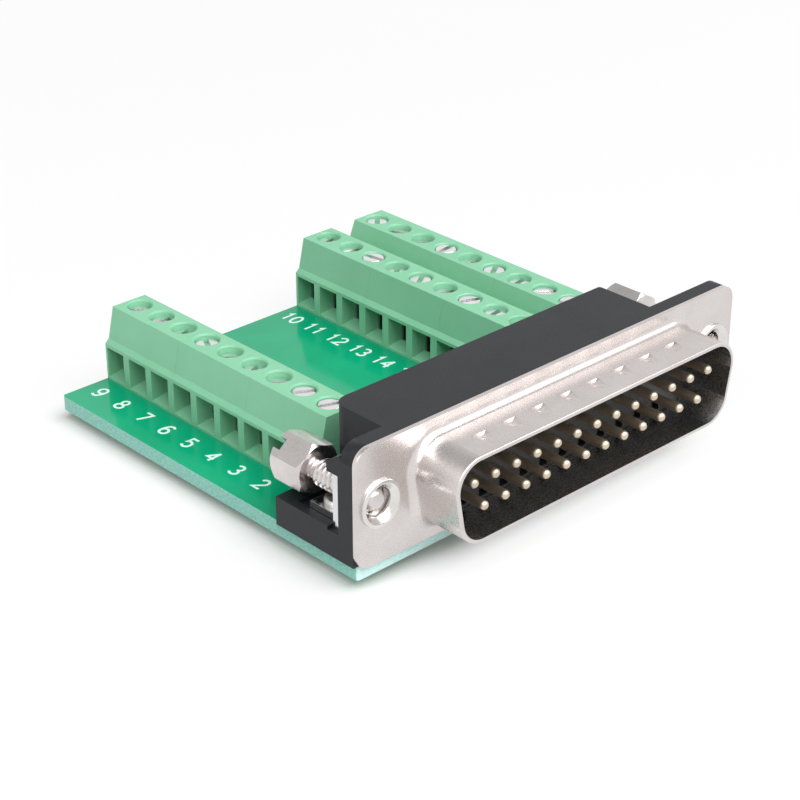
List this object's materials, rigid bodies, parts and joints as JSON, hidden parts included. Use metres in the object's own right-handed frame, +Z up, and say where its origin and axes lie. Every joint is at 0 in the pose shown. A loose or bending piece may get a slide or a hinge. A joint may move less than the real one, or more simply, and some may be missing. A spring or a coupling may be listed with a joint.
{
  "type": "d-sub connector",
  "caption": "Right-angle male D-sub plug on a green breakout board with rows of screw terminals and two hex jackscrews.",
  "frame": {"origin": "middle of the flange's front face, level with the middle of the two pin rows", "axes": "X along the plug, -Y the way the plug mates, +Z up, away from the board"},
  "size_m": [0.053, 0.0529, 0.0151],
  "materials": {
    "circuit_board": "green solder mask, glossy",
    "plated_shell": "nickel plate, satin with fine sparkle",
    "dark_insulator": "moulded, satin",
    "black_plastic": "moulded, satin black",
    "gold_contact": "gold flash, polished",
    "plated_insert": "nickel plate, bright",
    "plated_clip": "tin plate, satin",
    "board_lock": "tin plate, satin",
    "jackscrew_metal": "nickel plate, satin",
    "terminal_plastic": "moulded, satin pale green",
    "clamp_metal": "zinc plate",
    "screw_metal": "nickel plate, satin",
    "solder": "tin solder, smooth"
  },
  "bodies": {
    "board": {"circuit_board": "circuit_board", "front_shell": "plated_shell", "pin_insulator": "dark_insulator", "connector_housing": "black_plastic", "upper_contacts": "gold_contact", "lower_contacts": "gold_contact", "threaded_insert_left": "plated_insert", "threaded_insert_right": "plated_insert", "ground_clip_left": "plated_clip", "ground_clip_right": "plated_clip", "board_locks": "board_lock", "terminal_block_a1": "terminal_plastic", "terminal_block_a2": "terminal_plastic", "terminal_block_a3": "terminal_plastic", "wire_clamps_a1": "clamp_metal", "wire_clamps_a2": "clamp_metal", "wire_clamps_a3": "clamp_metal", "terminal_block_b1": "terminal_plastic", "terminal_block_b2": "terminal_plastic", "terminal_block_b3": "terminal_plastic", "wire_clamps_b1": "clamp_metal", "wire_clamps_b2": "clamp_metal", "wire_clamps_b3": "clamp_metal", "terminal_block_c1": "terminal_plastic", "terminal_block_c2": "terminal_plastic", "terminal_block_c3": "terminal_plastic", "wire_clamps_c1": "clamp_metal", "wire_clamps_c2": "clamp_metal", "wire_clamps_c3": "clamp_metal", "solder_joints": "solder"},
    "clamp_screw_a1": {"clamp_screw_a1": "screw_metal"},
    "clamp_screw_a2": {"clamp_screw_a2": "screw_metal"},
    "clamp_screw_a3": {"clamp_screw_a3": "screw_metal"},
    "clamp_screw_a4": {"clamp_screw_a4": "screw_metal"},
    "clamp_screw_a5": {"clamp_screw_a5": "screw_metal"},
    "clamp_screw_a6": {"clamp_screw_a6": "screw_metal"},
    "clamp_screw_a7": {"clamp_screw_a7": "screw_metal"},
    "clamp_screw_a8": {"clamp_screw_a8": "screw_metal"},
    "clamp_screw_a9": {"clamp_screw_a9": "screw_metal"},
    "clamp_screw_b1": {"clamp_screw_b1": "screw_metal"},
    "clamp_screw_b2": {"clamp_screw_b2": "screw_metal"},
    "clamp_screw_b3": {"clamp_screw_b3": "screw_metal"},
    "clamp_screw_b4": {"clamp_screw_b4": "screw_metal"},
    "clamp_screw_b5": {"clamp_screw_b5": "screw_metal"},
    "clamp_screw_b6": {"clamp_screw_b6": "screw_metal"},
    "clamp_screw_b7": {"clamp_screw_b7": "screw_metal"},
    "clamp_screw_b8": {"clamp_screw_b8": "screw_metal"},
    "clamp_screw_b9": {"clamp_screw_b9": "screw_metal"},
    "clamp_screw_c1": {"clamp_screw_c1": "screw_metal"},
    "clamp_screw_c2": {"clamp_screw_c2": "screw_metal"},
    "clamp_screw_c3": {"clamp_screw_c3": "screw_metal"},
    "clamp_screw_c4": {"clamp_screw_c4": "screw_metal"},
    "clamp_screw_c5": {"clamp_screw_c5": "screw_metal"},
    "clamp_screw_c6": {"clamp_screw_c6": "screw_metal"},
    "clamp_screw_c7": {"clamp_screw_c7": "screw_metal"},
    "clamp_screw_c8": {"clamp_screw_c8": "screw_metal"},
    "clamp_screw_c9": {"clamp_screw_c9": "screw_metal"},
    "jackscrew_left": {"jackscrew_left": "jackscrew_metal"},
    "jackscrew_right": {"jackscrew_right": "jackscrew_metal"}
  },
  "joints": [
    {"name": "turn_a1", "type": "hinge", "parent": "board", "child": "clamp_screw_a1", "pos_m": [-0.01659, 0.04522, 0], "axis": [0, 0, -1], "range_deg": [-540, 1287]},
    {"name": "turn_a2", "type": "hinge", "parent": "board", "child": "clamp_screw_a2", "pos_m": [-0.01659, 0.04141, 0], "axis": [0, 0, -1], "range_deg": [-495, 1332]},
    {"name": "turn_a3", "type": "hinge", "parent": "board", "child": "clamp_screw_a3", "pos_m": [-0.01659, 0.0376, 0], "axis": [0, 0, -1], "range_deg": [-630, 1197]},
    {"name": "turn_a4", "type": "hinge", "parent": "board", "child": "clamp_screw_a4", "pos_m": [-0.01659, 0.03379, 0], "axis": [0, 0, -1], "range_deg": [-360, 1467]},
    {"name": "turn_a5", "type": "hinge", "parent": "board", "child": "clamp_screw_a5", "pos_m": [-0.01659, 0.02998, 0], "axis": [0, 0, -1], "range_deg": [-675, 1152]},
    {"name": "turn_a6", "type": "hinge", "parent": "board", "child": "clamp_screw_a6", "pos_m": [-0.01659, 0.02617, 0], "axis": [0, 0, -1], "range_deg": [-585, 1242]},
    {"name": "turn_a7", "type": "hinge", "parent": "board", "child": "clamp_screw_a7", "pos_m": [-0.01659, 0.02236, 0], "axis": [0, 0, -1], "range_deg": [-675, 1152]},
    {"name": "turn_a8", "type": "hinge", "parent": "board", "child": "clamp_screw_a8", "pos_m": [-0.01659, 0.01855, 0], "axis": [0, 0, -1], "range_deg": [-225, 1602]},
    {"name": "turn_a9", "type": "hinge", "parent": "board", "child": "clamp_screw_a9", "pos_m": [-0.01659, 0.01474, 0], "axis": [0, 0, -1], "range_deg": [-180, 1647]},
    {"name": "turn_b1", "type": "hinge", "parent": "board", "child": "clamp_screw_b1", "pos_m": [0.0102, 0.04522, 0], "axis": [0, 0, -1], "range_deg": [-495, 1332]},
    {"name": "turn_b2", "type": "hinge", "parent": "board", "child": "clamp_screw_b2", "pos_m": [0.0102, 0.04141, 0], "axis": [0, 0, -1], "range_deg": [-495, 1332]},
    {"name": "turn_b3", "type": "hinge", "parent": "board", "child": "clamp_screw_b3", "pos_m": [0.0102, 0.0376, 0], "axis": [0, 0, -1], "range_deg": [-108, 1719]},
    {"name": "turn_b4", "type": "hinge", "parent": "board", "child": "clamp_screw_b4", "pos_m": [0.0102, 0.03379, 0], "axis": [0, 0, -1], "range_deg": [-495, 1332]},
    {"name": "turn_b5", "type": "hinge", "parent": "board", "child": "clamp_screw_b5", "pos_m": [0.0102, 0.02998, 0], "axis": [0, 0, -1], "range_deg": [-288, 1539]},
    {"name": "turn_b6", "type": "hinge", "parent": "board", "child": "clamp_screw_b6", "pos_m": [0.0102, 0.02617, 0], "axis": [0, 0, -1], "range_deg": [-540, 1287]},
    {"name": "turn_b7", "type": "hinge", "parent": "board", "child": "clamp_screw_b7", "pos_m": [0.0102, 0.02236, 0], "axis": [0, 0, -1], "range_deg": [-198, 1629]},
    {"name": "turn_b8", "type": "hinge", "parent": "board", "child": "clamp_screw_b8", "pos_m": [0.0102, 0.01855, 0], "axis": [0, 0, -1], "range_deg": [-405, 1422]},
    {"name": "turn_b9", "type": "hinge", "parent": "board", "child": "clamp_screw_b9", "pos_m": [0.0102, 0.01474, 0], "axis": [0, 0, -1], "range_deg": [-675, 1152]},
    {"name": "turn_c1", "type": "hinge", "parent": "board", "child": "clamp_screw_c1", "pos_m": [0.0178, 0.04522, 0], "axis": [0, 0, -1], "range_deg": [-270, 1557]},
    {"name": "turn_c2", "type": "hinge", "parent": "board", "child": "clamp_screw_c2", "pos_m": [0.0178, 0.04141, 0], "axis": [0, 0, -1], "range_deg": [-495, 1332]},
    {"name": "turn_c3", "type": "hinge", "parent": "board", "child": "clamp_screw_c3", "pos_m": [0.0178, 0.0376, 0], "axis": [0, 0, -1], "range_deg": [-585, 1242]},
    {"name": "turn_c4", "type": "hinge", "parent": "board", "child": "clamp_screw_c4", "pos_m": [0.0178, 0.03379, 0], "axis": [0, 0, -1], "range_deg": [-108, 1719]},
    {"name": "turn_c5", "type": "hinge", "parent": "board", "child": "clamp_screw_c5", "pos_m": [0.0178, 0.02998, 0], "axis": [0, 0, -1], "range_deg": [-585, 1242]},
    {"name": "turn_c6", "type": "hinge", "parent": "board", "child": "clamp_screw_c6", "pos_m": [0.0178, 0.02617, 0], "axis": [0, 0, -1], "range_deg": [-243, 1584]},
    {"name": "turn_c7", "type": "hinge", "parent": "board", "child": "clamp_screw_c7", "pos_m": [0.0178, 0.02236, 0], "axis": [0, 0, -1], "range_deg": [-432, 1395]},
    {"name": "turn_c8", "type": "hinge", "parent": "board", "child": "clamp_screw_c8", "pos_m": [0.0178, 0.01855, 0], "axis": [0, 0, -1], "range_deg": [-297, 1530]},
    {"name": "turn_c9", "type": "hinge", "parent": "board", "child": "clamp_screw_c9", "pos_m": [0.0178, 0.01474, 0], "axis": [0, 0, -1], "range_deg": [-135, 1692]},
    {"name": "turn_jackscrew_left", "type": "hinge", "parent": "board", "child": "jackscrew_left", "pos_m": [-0.02352, 0.0085, 0], "axis": [0, -1, 0], "range_deg": [-1709, 2693]},
    {"name": "turn_jackscrew_right", "type": "hinge", "parent": "board", "child": "jackscrew_right", "pos_m": [0.02352, 0.00955, 0], "axis": [0, -1, 0], "range_deg": [-1114, 3288]}
  ]
}
